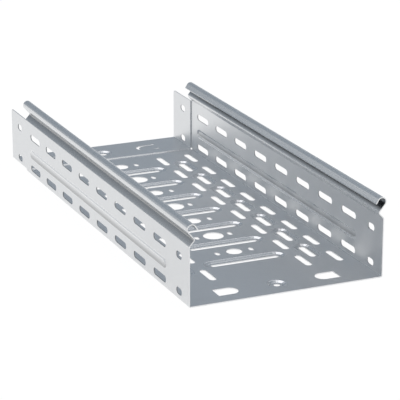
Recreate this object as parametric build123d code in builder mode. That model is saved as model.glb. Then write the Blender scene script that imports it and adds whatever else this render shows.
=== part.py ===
"""Perforated sheet-steel cable tray with a push-in coupling formed on its ends."""
import math
import os

from build123d import *

# The tray lies along Y, with its plain receiving end at -Y and its stepped tab at +Y.
# X runs across it, Z is up, and the origin is the middle of its box at floor level.

# Sheet and bends
sheet = 1.0
base_bend = 0.6  # inside radius where a wall rises from the base
groove_bend = 1.5  # inside radius of the bends of a groove

# Overall section, with heights measured from the underside of the base
width_over_walls = 199.0
section_height = 80.0
body_length = 450.0
tab_length = 50.0

# Rolled edge of a wall
groove_start = 59.0
groove_depth = 5.3
groove_rise = 5.7
roll_radius = 4.8  # outside of the roll
roll_overhang = 2.0  # how far the roll stands out past the wall
roll_turn = 190.0
lip_length = 3.2
lip_flare_radius = 1.2  # inside of the small bend that turns the lip's edge back out
lip_flare_turn = 35.0

# Stepped tab that slides into the next tray
tab_clearance = 0.1
step_run = 1.5
tab_corner_radius = 2.5
relief_diameter = 2.6

# Perforation pattern along the tray
pitch = 50.0
first_slot = 69.0  # from the receiving end to the first slot centre
slot_length = 30.0
slot_width = 6.8

# Straight sides drawn round the half-round end of a form
slot_sides = 5
narrow_slot_sides = 4
pressing_sides = 7
hole_sides = 20  # round a whole hole

# Slots and stiffening bead of a wall
lower_row = 8.5
upper_row = 43.5
coupling_slot_length = 13.0
bead_length = 382.0
bead_width = 10.0
bead_height = 24.5
bead_depth = 1.2
bead_flank = 2.6

# Holes of the base, with the columns of slots placed from the walls
wall_margin = 15.4  # from a wall's outer face to the outer column
column_pitch = 16.9
cross_slot_gap = 14.4  # from the inner column to the end of a cross slot
cross_slot_width = 5.3
small_slot_length = 8.5
small_slot_width = 4.5
small_slot_place = 18.0  # from the middle of the tray
small_hole_diameter = 16.0
large_hole_diameter = 21.0

# Recesses pressed down round some of those holes
recess_depth = 1.8
recess_flank = 4.4  # plan width of the sloping rim
cross_shelf = 2.8  # flat left between a hole and the rim
column_shelf = 1.4
dimple_shelf = 2.2

# Coupling: snap openings, snap tongues and screw dimples
coupling_place = 23.0  # from the start of an end to its coupling features
snap_length = 22.6
snap_width = 16.8
snap_margin = 36.6  # from a wall's outer face to the flat side of a snap opening
tongue_gap = 1.3
tongue_tip_gap = 3.4
tongue_drop = 1.2
tongue_relief_diameter = 3.0
screw_hole_diameter = 6.5

# Worked out from the sizes above
overall_length = body_length + tab_length
half_width = width_over_walls / 2
near_end = -overall_length / 2
body_end = near_end + body_length
base_level = recess_depth  # underside of the base
base_top = base_level + sheet
tab_step = sheet + tab_clearance
tab_top = base_level + groove_start - sheet
slot_count = round(body_length / pitch) - 1
outer_column = half_width - wall_margin
middle_column = outer_column - column_pitch
inner_column = middle_column - column_pitch
cross_slot_length = 2 * (inner_column - cross_slot_gap)
snap_outer = half_width - snap_margin
snap_inner = snap_outer - snap_length
near_coupling = near_end + coupling_place
far_coupling = body_end + coupling_place
bead_middle = first_slot + near_end + (slot_count - 1) * pitch / 2
cut_height = base_top + tab_step + sheet  # clear of the base and the tab's floor


def rows(count, start):
    """Places along the tray, one pitch apart."""
    return [near_end + start + index * pitch for index in range(count)]


def mirrored(*places):
    """The same places on both sides of the middle plane."""
    return [side * place for place in places for side in (-1, 1)]


def spots(columns, lines):
    """Every crossing of some columns and some lines."""
    return [(column, line) for column in columns for line in lines]


def turned(places):
    """Places in plan, turned so that a slot put there lies along the tray."""
    return [Location((x, y), 90) for x, y in places]


slot_rows = rows(slot_count, first_slot)
recess_rows = rows(slot_count - 1, first_slot + pitch / 2)
hole_rows = rows(slot_count - 1, first_slot + pitch)
coupling_rows = (near_coupling, far_coupling)
wall_rows = (base_level + lower_row, base_level + upper_row)

straight_spots = spots(mirrored(inner_column, outer_column), slot_rows)
column_spots = spots(mirrored(middle_column), recess_rows)
cross_spots = spots([0], recess_rows)

# Bolts go in the first and last slots, whose ends are true half-rounds
bolt_spots = spots(mirrored(middle_column), (recess_rows[0], recess_rows[-1]))
inner_column_spots = spots(mirrored(middle_column), recess_rows[1:-1])
splice_rows = slot_rows[:2] + slot_rows[-2:]
plain_rows = slot_rows[2:-2]


def across(y):
    """Upright plane across the tray at y, facing the far end."""
    return Plane(origin=(0, y, 0), x_dir=(-1, 0, 0), z_dir=(0, 1, 0))


def body_outline(plane):
    """Section of the body: base, walls, grooves and rolled edges."""
    apex = Vector(half_width - groove_depth, base_level + groove_start + groove_rise)
    roll_centre = Vector(
        half_width + roll_overhang - roll_radius,
        base_level + section_height - roll_radius,
    )
    reach = roll_centre - apex
    lean = math.atan2(reach.X, reach.Y) + math.asin(roll_radius / reach.length)
    rise_length = math.sqrt(reach.length**2 - roll_radius**2)
    rise = Vector(math.sin(lean), math.cos(lean)) * rise_length
    with BuildSketch(plane) as outline:
        with BuildLine():
            wall = FilletPolyline(
                (0, base_level),
                (half_width, base_level),
                (half_width, base_level + groove_start),
                apex,
                apex + rise,
                radius=[base_bend + sheet, groove_bend + sheet, groove_bend],
            )
            roll = JernArc(
                start=wall @ 1, tangent=wall % 1, radius=roll_radius, arc_size=roll_turn
            )
            lip = Line(roll @ 1, (roll @ 1) + (roll % 1) * lip_length)
            JernArc(
                start=lip @ 1, tangent=lip % 1, radius=lip_flare_radius, arc_size=-lip_flare_turn
            )
            offset(amount=sheet, side=Side.LEFT)
        make_face()
        mirror(about=Plane.YZ)
    return outline.sketch


def channel_outline(plane, step):
    """Section of a plain channel that lies inside the body's by step."""
    with BuildSketch(plane) as outline:
        with BuildLine():
            FilletPolyline(
                (0, base_level + step),
                (half_width - step, base_level + step),
                (half_width - step, tab_top),
                radius=[base_bend + sheet],
            )
            offset(amount=sheet, side=Side.LEFT)
        make_face()
        mirror(about=Plane.YZ)
    return outline.sketch


def slot_plan(length, width, sides):
    """Long slot whose half-round ends are drawn with a few straight sides each."""
    radius = width / 2
    reach = length / 2 - radius
    turns = [math.pi * (side / sides - 0.5) for side in range(sides + 1)]
    right = [(reach + radius * math.cos(turn), radius * math.sin(turn)) for turn in turns]
    left = [(-x, -y) for x, y in right]
    with BuildSketch() as plan:
        with BuildLine():
            Polyline(*right, *left, close=True)
        make_face()
    return plan.sketch


def disc_plan(diameter):
    """Round hole or form, drawn with many straight sides."""
    with BuildSketch() as plan:
        RegularPolygon(diameter / 2, hole_sides)
    return plan.sketch


def plug(plan, top, depth, flank):
    """Block whose rim slopes inwards by flank, from top down to its flat bottom."""
    with BuildPart() as block:
        with BuildSketch(Plane.XY.offset(top - depth)):
            add(plan)
        extrude(amount=depth + sheet / 2)
        bottom = block.faces().sort_by(Axis.Z)[0]
        chamfer(bottom.edges(), length=flank, length2=depth, reference=bottom)
    return block.part


def spread(depth, flank):
    """How much wider a dish is outside the sheet than inside it."""
    return 2 * sheet * math.tan(math.atan2(depth, flank) / 2)


def slot_pressing(length, width, depth, flank):
    """Dish and its hollow, for a long form pressed down from the sheet's inner face."""
    more = spread(depth, flank)
    dish = plug(slot_plan(length + more, width + more, pressing_sides), -sheet, depth, flank)
    hollow = plug(slot_plan(length, width, pressing_sides), 0, depth, flank)
    return dish, hollow


def disc_pressing(diameter, depth, flank):
    """Dish and its hollow, for a round form pressed down from the sheet's inner face."""
    dish = plug(disc_plan(diameter + spread(depth, flank)), -sheet, depth, flank)
    hollow = plug(disc_plan(diameter), 0, depth, flank)
    return dish, hollow


def snap_outline(y, gap, tip_gap):
    """Plan of a pair of snap shapes: flat on the outer side, round on the inner side."""
    end_radius = snap_width / 2 - gap
    inner = snap_inner + tip_gap
    straight = snap_outer - inner - end_radius
    with BuildSketch() as outline:
        with Locations((snap_outer - straight / 2, y)):
            Rectangle(straight, 2 * end_radius)
        with Locations((inner + end_radius, y)):
            Circle(end_radius)
        mirror(about=Plane.YZ)
    return outline.sketch


def snap_tongues():
    """Pair of tongues that spring from the outer side of their openings and dip inwards."""
    top = base_top + tab_step
    with BuildPart() as tongues:
        with BuildSketch(Plane.XZ):
            with BuildLine():
                Polyline(
                    (snap_outer, top),
                    (snap_inner, top - tongue_drop),
                    (snap_inner, top - tongue_drop - sheet),
                    (snap_outer, top - sheet),
                    close=True,
                )
            make_face()
            mirror(about=Plane.YZ)
        extrude(amount=overall_length, both=True)
        plan = snap_outline(far_coupling, tongue_gap, tongue_tip_gap)
        extrude(plan, amount=cut_height, mode=Mode.INTERSECT)
    return tongues.part


with BuildPart() as tray_body:
    # Rolled body, joggled tab and its rounded corners
    extrude(body_outline(across(near_end)), amount=body_length)
    tab_outline = channel_outline(across(body_end + step_run), tab_step)
    loft([channel_outline(across(body_end), 0), tab_outline], ruled=True)
    extrude(tab_outline, amount=tab_length - step_run)
    tab_end = tray_body.edges().filter_by(Axis.X).group_by(Axis.Y)[-1]
    fillet(tab_end.group_by(Axis.Z)[-1], radius=tab_corner_radius)
    for side in (-1, 1):
        corner = Plane(origin=(side * half_width, body_end, base_level), z_dir=(side, 0, -1))
        with Locations(corner):
            Cylinder(relief_diameter / 2, 4 * (base_bend + sheet), mode=Mode.SUBTRACT)

    # Stiffening beads, pressed outwards between the rows of wall slots
    bead_dish, bead_hollow = slot_pressing(bead_length, bead_width, bead_depth, bead_flank)
    for side in (-1, 1):
        bead_centre = (side * (half_width - sheet), bead_middle, base_level + bead_height)
        with Locations(Plane(origin=bead_centre, x_dir=(0, 1, 0), z_dir=(-side, 0, 0))):
            add(bead_dish)
            add(bead_hollow, mode=Mode.SUBTRACT)

    # Recesses round the cross slots
    margin = 2 * (cross_shelf + recess_flank)
    dish, hollow = slot_pressing(
        cross_slot_length + margin, cross_slot_width + margin, recess_depth, recess_flank
    )
    with Locations([(x, y, base_top) for x, y in cross_spots]):
        add(dish)
        add(hollow, mode=Mode.SUBTRACT)

    # Recesses round the middle columns of slots
    margin = 2 * (column_shelf + recess_flank)
    dish, hollow = slot_pressing(
        slot_length + margin, slot_width + margin, recess_depth, recess_flank
    )
    with Locations([Location((x, y, base_top), 90) for x, y in column_spots]):
        add(dish)
        add(hollow, mode=Mode.SUBTRACT)

    # Dimples round the screw holes
    margin = 2 * (dimple_shelf + recess_flank)
    dish, hollow = disc_pressing(screw_hole_diameter + margin, recess_depth, recess_flank)
    with Locations((0, near_coupling, base_top), (0, far_coupling, base_top + tab_step)):
        add(dish)
        add(hollow, mode=Mode.SUBTRACT)

    # Holes of the base
    with BuildSketch():
        with Locations(bolt_spots):
            SlotOverall(slot_length, slot_width, rotation=90)
        plain_slot = slot_plan(slot_length, slot_width, slot_sides)
        with Locations(turned(straight_spots + inner_column_spots)):
            add(plain_slot)
        with Locations(cross_spots):
            add(slot_plan(cross_slot_length, cross_slot_width, narrow_slot_sides))
        small_slot = slot_plan(small_slot_length, small_slot_width, narrow_slot_sides)
        with Locations(turned(spots(mirrored(small_slot_place), hole_rows))):
            add(small_slot)
        with Locations(spots([0], hole_rows[0::2])):
            add(disc_plan(small_hole_diameter))
        with Locations(spots([0], hole_rows[1::2])):
            add(disc_plan(large_hole_diameter))
        with Locations(spots([0], coupling_rows)):
            Circle(screw_hole_diameter / 2)
        for y in coupling_rows:
            add(snap_outline(y, 0, 0))
    extrude(amount=cut_height, mode=Mode.SUBTRACT)

    # Snap tongues of the tab, with relief holes at their roots
    add(snap_tongues())
    root_reach = (snap_width - tongue_gap) / 2
    with BuildSketch():
        root_rows = (far_coupling - root_reach, far_coupling + root_reach)
        with Locations(spots(mirrored(snap_outer), root_rows)):
            Circle(tongue_relief_diameter / 2)
    extrude(amount=cut_height, mode=Mode.SUBTRACT)

    # Slots of both walls
    with BuildSketch(Plane.YZ):
        with Locations(spots(splice_rows, wall_rows)):
            SlotOverall(slot_length, slot_width)
        with Locations(spots(plain_rows, wall_rows)):
            add(plain_slot)
        with Locations(spots(coupling_rows, wall_rows)):
            add(slot_plan(coupling_slot_length, slot_width, slot_sides))
    extrude(amount=width_over_walls, both=True, mode=Mode.SUBTRACT)

os.makedirs("parts", exist_ok=True)
tray_body.part.label = "tray_body"
export_step(tray_body.part, "parts/tray_body.step")
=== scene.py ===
"""Dresses the cable tray in galvanised steel, on a white floor in a soft studio."""
import math

import bpy
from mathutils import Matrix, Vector


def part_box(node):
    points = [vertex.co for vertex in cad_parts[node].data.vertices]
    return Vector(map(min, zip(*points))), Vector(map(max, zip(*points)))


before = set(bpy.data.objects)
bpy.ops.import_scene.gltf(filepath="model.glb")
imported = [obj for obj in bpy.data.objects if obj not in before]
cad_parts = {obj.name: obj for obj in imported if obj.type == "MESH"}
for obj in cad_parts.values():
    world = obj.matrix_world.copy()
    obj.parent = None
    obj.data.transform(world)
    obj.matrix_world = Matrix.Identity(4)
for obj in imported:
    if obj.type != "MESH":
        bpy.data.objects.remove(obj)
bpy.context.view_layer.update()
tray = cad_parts["tray_body"]
low_corner, high_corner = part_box("tray_body")
mm = 0.001

# Camera
camera_place = Vector((-0.7770, -1.8192, 0.6733))
camera_turn = 23.685  # degrees from +Y towards +X
camera_dip = 18.386  # degrees below level
lens = 181.9
sensor = 36.0

# Floor
floor_reach = 12.0
floor_colour = (0.10, 0.10, 0.10, 1)
floor_glow = 0.95  # radiance, where 1 is white
floor_mirrored = 0.96  # share of the glow that shows in a reflection

# Studio, with turns in degrees from +Y towards +X, and rises in degrees above level
studio_blue = (0.315, 0.355, 0.40, 1)
studio_rear = (0.58, 0.61, 0.65, 1)
studio_white = (1.0, 1.0, 1.0, 1)
rear_turn = (70.0, 150.0)  # turns, to either side, over which the paler rear comes in
panel_turn = (-75.0, -25.0)  # white panel on the left
panel_turn_blur = 6.0
panel_rise = (15.0, 23.0)
panel_rise_blur = 4.0
sweep_top = (0.0, 6.5)  # rises over which the white sweep ends
overhead = (60.0, 72.0)  # rises over which the overhead light comes up
lamp_turn = 4.0  # softbox
lamp_rise = 56.0
lamp_spread = (11.0, 18.0)  # degrees from its middle over which it ends
lamp_colour = (1.55, 1.55, 1.6, 1)
fill_turn = 34.0  # lesser softbox beside it
fill_rise = 42.0
fill_spread = (4.0, 9.0)
fill_colour = (1.2, 1.2, 1.22, 1)

# Places on the tray that its finish follows
sheet = 1.0 * mm
base_low = 1.8 * mm  # underside of the base
base_clear = base_low + 3 * sheet  # height above the base and the floor of the tab
wall_face = 99.5 * mm  # outer face of a wall, from the middle of the tray
wall_clear = wall_face - 3 * sheet  # well inside the walls
slot_side = wall_face - 2.4 * sheet  # just inside the walls, of the tab too
slot_top = 59.0 * mm  # height above the slots of a wall, and below the upper edge of the tab
recess_depth = 1.8 * mm
recess_low = base_low + sheet - recess_depth  # upper face of a recess's bottom
tab_start = high_corner[1] - 50.0 * mm
tab_rise = 1.1 * mm
bead_depth = 1.2 * mm
bead_band = (20.5 * mm, 32.1 * mm)  # heights between which a bead lies
bead_blur = 0.1 * mm
bead_shade = (21.5 * mm, 29.5 * mm)  # heights over which the painted shade on a bead fades upwards
bead_drop = 9.0  # taken from the share of a flank on the rest of a wall
groove_band = (60.5 * mm, 67.5 * mm)  # heights of the lower side of the groove under a roll
groove_blur = 0.3 * mm
groove_shade = (58.0 * mm, 67.0 * mm)  # heights over which the painted shade on that side deepens
roll_radius = 4.8 * mm
roll_side = high_corner[0] - roll_radius  # middle of a roll
roll_rise = high_corner[2] - roll_radius
roll_hollow = 0.5 * sheet  # least distance from that middle to a face that looks at it
roll_shade = (66.5 * mm, 70.5 * mm)  # heights over which painted shade comes in inside a roll
flank_ends = (-0.02, 1.02)  # shares between which a point is on a pressed flank
flank_blur = 0.01

# Ways that a face looks, as the part of its unit normal along an axis
square_on = 0.9  # at least, where it looks along the axis
edge_on = 0.2  # at most, where it looks across the axis
tilted = 0.3  # at least, where it leans towards the axis
flat_least = 0.97  # sum of the fourth powers of all three, where it looks along any axis

# Galvanised steel
steel_colour = (0.750, 0.760, 0.770, 1)
steel_pale = (0.760, 0.770, 0.780, 1)
# Painted highlight on sheared edges and on the upper sides of beads
painted_highlight_colour = (0.93, 0.93, 0.93, 1)
# Painted shade inside the rolled edges
painted_roll_shade_colour = (0.35, 0.365, 0.38, 1)
# Painted shade on the slots' sheared faces, low on the beads and up the grooves
shade_colour = (0.38, 0.385, 0.39, 1)
steel_rough = 0.34
bend_rough = 0.27
edge_rough = 0.2  # what a sheared edge adds
patch_rough = 0.015  # most that two crystals of the zinc differ
streak_rough = 0.03  # most that two of the fine lines differ
round_share = 0.27  # share of a pressed flank that its bends take up at each edge
steel_stretch = 0.6  # how much more the lines spread a reflection across them than along them
stretch_turn = 0.25  # of a whole turn, from the lines to the way they spread it
spangle_size = 7.0 * mm
grain_width = 0.45 * mm
grain_length = 60.0 * mm
grain_depth = 0.0003 * mm
grain_detail = 3.0


def direction_of(turn, rise):
    """Unit vector for a turn and a rise in degrees."""
    turn, rise = math.radians(turn), math.radians(rise)
    return Vector((math.sin(turn) * math.cos(rise), math.cos(turn) * math.cos(rise), math.sin(rise)))


def make_camera():
    data = bpy.data.cameras.new("camera")
    data.lens = lens
    data.sensor_width = sensor
    camera = bpy.data.objects.new("camera", data)
    bpy.context.scene.collection.objects.link(camera)
    camera.location = camera_place
    camera.rotation_mode = "QUATERNION"
    camera.rotation_quaternion = direction_of(camera_turn, -camera_dip).to_track_quat("-Z", "Y")
    bpy.context.scene.camera = camera


class Tree:
    """Shorthand for wiring the nodes of a material or a world."""

    def __init__(self, owner):
        owner.use_nodes = True
        self.nodes = owner.node_tree.nodes
        self.links = owner.node_tree.links
        self.nodes.clear()

    def add(self, kind, inputs=None, **settings):
        """New node with these settings, and with a value or a link in each of these inputs."""
        node = self.nodes.new(kind)
        for name, value in settings.items():
            setattr(node, name, value)
        for name, value in (inputs or {}).items():
            self.feed(node.inputs[name], value)
        return node

    def feed(self, socket, value):
        if isinstance(value, bpy.types.NodeSocket):
            self.links.new(value, socket)
        else:
            socket.default_value = value

    def math(self, operation, *values):
        node = self.add("ShaderNodeMath", dict(enumerate(values)), operation=operation)
        return node.outputs[0]

    def vector(self, operation, *values):
        node = self.add("ShaderNodeVectorMath", dict(enumerate(values)), operation=operation)
        return node.outputs[0]

    def split(self, vector):
        """The X, Y and Z of a vector."""
        return self.add("ShaderNodeSeparateXYZ", {0: vector}).outputs

    def above(self, value, limit):
        return self.math("GREATER_THAN", value, limit)

    def below(self, value, limit):
        return self.math("LESS_THAN", value, limit)

    def every(self, *masks):
        """1 where all of the masks are 1."""
        product = masks[0]
        for mask in masks[1:]:
            product = self.math("MULTIPLY", product, mask)
        return product

    def either(self, first, second):
        """1 where one of two masks is 1."""
        return self.math("MAXIMUM", first, second)

    def rise(self, value, low, high):
        """Goes smoothly from 0 at low to 1 at high."""
        inputs = {"Value": value, "From Min": low, "From Max": high}
        return self.add("ShaderNodeMapRange", inputs, interpolation_type="SMOOTHSTEP").outputs["Result"]

    def fall(self, value, low, high):
        """Goes smoothly from 1 at low to 0 at high."""
        return self.math("SUBTRACT", 1, self.rise(value, low, high))

    def between(self, value, low, high, blur):
        """1 between low and high, and 0 outside."""
        start = self.rise(value, low - blur, low + blur)
        end = self.rise(value, high - blur, high + blur)
        return self.math("SUBTRACT", start, end)

    def mix(self, factor, first, second, kind="RGBA"):
        """Colour, or another kind of value, that goes from first to second."""
        inputs = {"Factor": factor, "A": first, "B": second}
        return self.add("ShaderNodeMix", inputs, data_type=kind).outputs["Result"]


def seen_directly(tree):
    """1 for what the camera sees, also through a clear body, and nearly 1 for a reflection."""
    path = tree.add("ShaderNodeLightPath").outputs
    mirrored = tree.math("MULTIPLY", path["Is Glossy Ray"], floor_mirrored)
    return tree.either(tree.either(path["Is Camera Ray"], mirrored), path["Is Transmission Ray"])


def make_floor():
    mesh = bpy.data.meshes.new("floor")
    corners = [(x * floor_reach, y * floor_reach, 0) for x, y in ((-1, -1), (1, -1), (1, 1), (-1, 1))]
    mesh.from_pydata(corners, [], [(0, 1, 2, 3)])
    floor = bpy.data.objects.new("floor", mesh)
    bpy.context.scene.collection.objects.link(floor)
    material = bpy.data.materials.new("floor_white")
    tree = Tree(material)
    diffuse = tree.add("ShaderNodeBsdfDiffuse", {"Color": floor_colour})
    strength = tree.math("MULTIPLY", seen_directly(tree), floor_glow)
    glow = tree.add("ShaderNodeEmission", {"Strength": strength})
    both = tree.add("ShaderNodeAddShader", {0: diffuse.outputs[0], 1: glow.outputs[0]})
    tree.add("ShaderNodeOutputMaterial", {"Surface": both.outputs[0]})
    mesh.materials.append(material)


def softbox(tree, direction, turn, rise, spread):
    """1 towards a round light in the studio, and 0 away from it."""
    inputs = {0: direction, 1: direction_of(turn, rise)}
    towards = tree.add("ShaderNodeVectorMath", inputs, operation="DOT_PRODUCT").outputs["Value"]
    away = tree.math("DEGREES", tree.math("ARCCOSINE", towards))
    return tree.fall(away, *spread)


def make_world():
    """Blue-grey studio with a white panel on the left, light overhead and two softboxes ahead."""
    world = bpy.data.worlds.new("studio")
    bpy.context.scene.world = world
    tree = Tree(world)
    direction = tree.add("ShaderNodeTexCoord").outputs["Generated"]
    right, ahead, up = tree.split(direction)
    turn = tree.math("DEGREES", tree.math("ARCTAN2", right, ahead))
    rise = tree.math("DEGREES", tree.math("ARCSINE", up))

    rear = tree.rise(tree.math("ABSOLUTE", turn), *rear_turn)
    colour = tree.mix(rear, studio_blue, studio_rear)
    panel = tree.every(
        tree.between(turn, *panel_turn, panel_turn_blur),
        tree.between(rise, *panel_rise, panel_rise_blur),
    )
    colour = tree.mix(panel, colour, studio_white)
    colour = tree.mix(tree.rise(rise, *overhead), colour, studio_white)
    colour = tree.mix(tree.fall(rise, *sweep_top), colour, studio_white)
    fill = softbox(tree, direction, fill_turn, fill_rise, fill_spread)
    colour = tree.mix(fill, colour, fill_colour)
    lamp = softbox(tree, direction, lamp_turn, lamp_rise, lamp_spread)
    colour = tree.mix(lamp, colour, lamp_colour)
    back = tree.add("ShaderNodeBackground", {"Color": colour})
    tree.add("ShaderNodeOutputWorld", {"Surface": back.outputs[0]})


class Surface:
    """Where a point of the tray lies, and which way its face looks.

    The side is how far the point lies from the tray's middle, to the left or right, and outwards
    is the part of the face's normal that points away from there.
    """

    def __init__(self, tree):
        geometry = tree.add("ShaderNodeNewGeometry").outputs
        self.shading_normal = geometry["Normal"]
        self.normal = geometry["True Normal"]
        self.facing = tree.split(self.normal)
        self.point = tree.add("ShaderNodeTexCoord").outputs["Object"]
        across, self.length, self.height = tree.split(self.point)
        self.side = tree.math("ABSOLUTE", across)
        self.outwards = tree.math("MULTIPLY", self.facing["X"], tree.math("SIGN", across))


def cut_edges(tree, at):
    """1 on the sheared edges of the sheet's ends and of the holes in the base, which get a painted
    highlight.
    """
    ends = tree.above(tree.math("ABSOLUTE", at.facing["Y"]), square_on)
    holes = tree.every(
        tree.below(at.height, base_clear),
        tree.below(at.side, wall_clear),
        tree.below(tree.math("ABSOLUTE", at.facing["Z"]), edge_on),
    )
    return tree.either(ends, holes)


def slot_edges(tree, at):
    """1 on the sheared faces of the slots in the walls, where shade is painted."""
    return tree.every(
        tree.above(at.side, slot_side),
        tree.below(tree.math("ABSOLUTE", at.facing["X"]), edge_on),
        tree.above(at.length, low_corner[1] + sheet),
        tree.below(at.length, high_corner[1] - sheet),
        tree.above(at.height, base_clear),
        tree.below(at.height, slot_top),
    )


def outside_bead(tree, at):
    """1 on the outside of a bead, where it stands proud of its wall."""
    proud = tree.above(at.side, wall_face + bead_blur)
    return tree.every(proud, tree.between(at.height, *bead_band, bead_blur))


def outer_shade(tree, at, on_bead):
    """Rises to 1 towards the lower edge of a bead, and up the outside of a groove, where shade is
    painted.
    """
    bead = tree.every(on_bead, tree.fall(at.height, *bead_shade))
    groove = tree.every(
        tree.above(at.outwards, tilted),
        tree.between(at.height, *groove_band, groove_blur),
        tree.rise(at.height, *groove_shade),
    )
    return tree.either(bead, groove)


def inside_roll(tree, at):
    """Rises to 1 on the faces that look at the middle of a rolled edge, where shade is painted."""
    across = tree.math("MULTIPLY", tree.math("SUBTRACT", roll_side, at.side), at.outwards)
    upwards = tree.math("MULTIPLY", tree.math("SUBTRACT", roll_rise, at.height), at.facing["Z"])
    looks_in = tree.above(tree.math("ADD", across, upwards), roll_hollow)
    return tree.every(looks_in, tree.rise(at.height, *roll_shade))


def formed(tree, at):
    """1 where the sheet is bent or pressed, so that the tools have smoothed it."""
    # The fourth powers of a unit normal's parts add up to 1 only where it lies along an axis
    fourth = [tree.math("POWER", at.facing[axis], 4) for axis in "XYZ"]
    total = tree.math("ADD", tree.math("ADD", fourth[0], fourth[1]), fourth[2])
    return tree.below(total, flat_least)


def along_flank(tree, at):
    """0 to 1 over the height of a pressed flank, and negative or more than 1 elsewhere."""
    on_tab = tree.above(at.length, tab_start)
    low = tree.math("MULTIPLY_ADD", on_tab, tab_rise, recess_low)
    pressed = tree.math("DIVIDE", tree.math("SUBTRACT", at.height, low), recess_depth)
    face = tree.math("MULTIPLY_ADD", tree.above(at.outwards, 0), sheet, wall_face - sheet)
    beaded = tree.math("DIVIDE", tree.math("SUBTRACT", at.side, face), bead_depth)
    off_bead = tree.math("SUBTRACT", 1, tree.between(at.height, *bead_band, bead_blur))
    beaded = tree.math("SUBTRACT", beaded, tree.math("MULTIPLY", off_bead, bead_drop))
    return tree.mix(tree.above(at.side, wall_clear), pressed, beaded, "FLOAT")


def rounded_normal(tree, at, bent):
    """Normal that turns gently from the sheet into a pressed flank and back."""
    share = along_flank(tree, at)
    edges = tree.either(tree.rise(share, 1 - round_share, 1), tree.fall(share, 0, round_share))
    turned = tree.every(edges, tree.between(share, *flank_ends, flank_blur), bent)
    # The cubes of its parts lie nearer to its main axis, as the sheet beside a flank does
    cubed = tree.vector("MULTIPLY", tree.vector("MULTIPLY", at.normal, at.normal), at.normal)
    sheet_normal = tree.vector("NORMALIZE", cubed)
    return tree.vector("NORMALIZE", tree.mix(turned, at.shading_normal, sheet_normal, "VECTOR"))


def spangle(tree, at):
    """Two numbers from 0 to 1 that change from one crystal of the zinc to the next."""
    crystals = tree.add("ShaderNodeTexVoronoi", {"Vector": at.point, "Scale": 1 / spangle_size})
    return tree.add("ShaderNodeSeparateColor", {0: crystals.outputs["Color"]}).outputs[:2]


def fine_lines(tree, at):
    """Noise from 0 to 1, drawn out along the rolling direction."""
    scale = (1 / grain_width, 1 / grain_length, 1 / grain_width)
    stretched = tree.add("ShaderNodeMapping", {"Vector": at.point, "Scale": scale})
    inputs = {"Vector": stretched.outputs[0], "Scale": 1.0, "Detail": grain_detail}
    return tree.add("ShaderNodeTexNoise", inputs).outputs["Fac"]


def tint(tree, at, paler, sheared):
    """Colour of the zinc, with a painted highlight on sheared edges and upper sides of beads, and
    painted shade in hollows.
    """
    on_bead = outside_bead(tree, at)
    # Painted highlight on sheared edges and on the upper sides of beads
    painted_highlight_mask = tree.either(sheared, tree.every(on_bead, tree.above(at.facing["Z"], edge_on)))
    # Painted shade on the slots' sheared faces, low on the beads and up the grooves
    shaded = tree.either(slot_edges(tree, at), outer_shade(tree, at, on_bead))
    colour = tree.mix(paler, steel_colour, steel_pale)
    colour = tree.mix(painted_highlight_mask, colour, painted_highlight_colour)
    colour = tree.mix(shaded, colour, shade_colour)
    # Painted shade inside the rolled edges
    return tree.mix(inside_roll(tree, at), colour, painted_roll_shade_colour)


def roughness(tree, bent, lines, rougher, sheared):
    """Less where the sheet is formed, more on sheared edges, with streaks and patches."""
    streak = tree.math("MULTIPLY", tree.math("SUBTRACT", lines, 0.5), streak_rough)
    patch = tree.math("MULTIPLY", tree.math("SUBTRACT", rougher, 0.5), patch_rough)
    rough = tree.math("MULTIPLY_ADD", bent, bend_rough - steel_rough, steel_rough)
    rough = tree.math("ADD", rough, tree.math("ADD", streak, patch))
    return tree.math("MULTIPLY_ADD", sheared, edge_rough, rough)


def steel():
    """Galvanised strip: faint spangle, fine lines along its rolling direction, painted shade in
    hollows, painted highlights.
    """
    material = bpy.data.materials.new("galvanised_steel")
    tree = Tree(material)
    at = Surface(tree)
    paler, rougher = spangle(tree, at)
    lines = fine_lines(tree, at)
    sheared = cut_edges(tree, at)
    bent = formed(tree, at)
    relief = tree.add("ShaderNodeBump", {
        "Height": lines,
        "Distance": grain_depth,
        "Normal": rounded_normal(tree, at, bent),
    })
    rolling = tree.add("ShaderNodeCombineXYZ", {"Y": 1.0})
    shader = tree.add("ShaderNodeBsdfPrincipled", {
        "Base Color": tint(tree, at, paler, sheared),
        "Metallic": 1.0,
        "Roughness": roughness(tree, bent, lines, rougher, sheared),
        "Anisotropic": steel_stretch,
        "Anisotropic Rotation": stretch_turn,
        "Tangent": rolling.outputs[0],
        "Normal": relief.outputs[0],
    })
    tree.add("ShaderNodeOutputMaterial", {"Surface": shader.outputs[0]})
    return material


make_camera()
make_floor()
make_world()
tray.material_slots[0].material = steel()

bpy.context.scene.view_settings.view_transform = "Standard"
